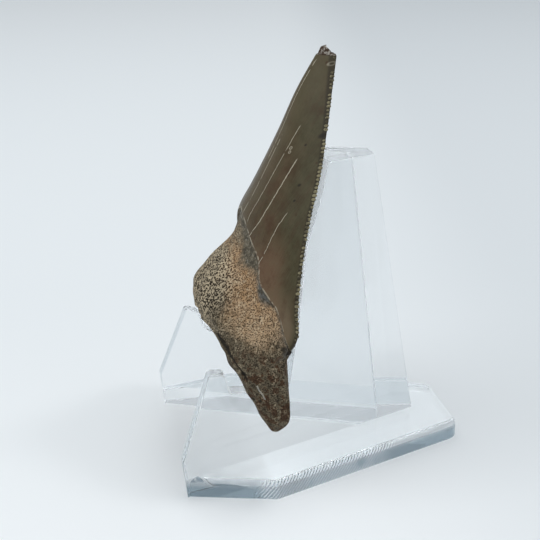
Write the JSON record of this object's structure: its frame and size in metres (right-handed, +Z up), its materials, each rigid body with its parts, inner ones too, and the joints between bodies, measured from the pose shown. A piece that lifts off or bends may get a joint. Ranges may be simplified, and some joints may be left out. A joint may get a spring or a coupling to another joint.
{
  "type": "fossil megalodon tooth",
  "caption": "Fossil shark tooth with a serrated blade and a two-lobed root, leaning on a clear plastic V-shaped display stand.",
  "frame": {"origin": "on the ground under the middle of the object's bounding box", "axes": "+Z up, -Y the way the tooth's lingual face and the stand's open front look, +X to the right of the tooth seen from behind"},
  "size_m": [0.0448, 0.0492, 0.0678],
  "materials": {
    "fossil": "satin olive-brown enamel, matt porous tan and dark brown root",
    "clear_plastic": "clear polished moulded acrylic with a faint blue-grey tint"
  },
  "bodies": {
    "root": {"tooth": "fossil", "display_stand": "clear_plastic"}
  },
  "joints": []
}
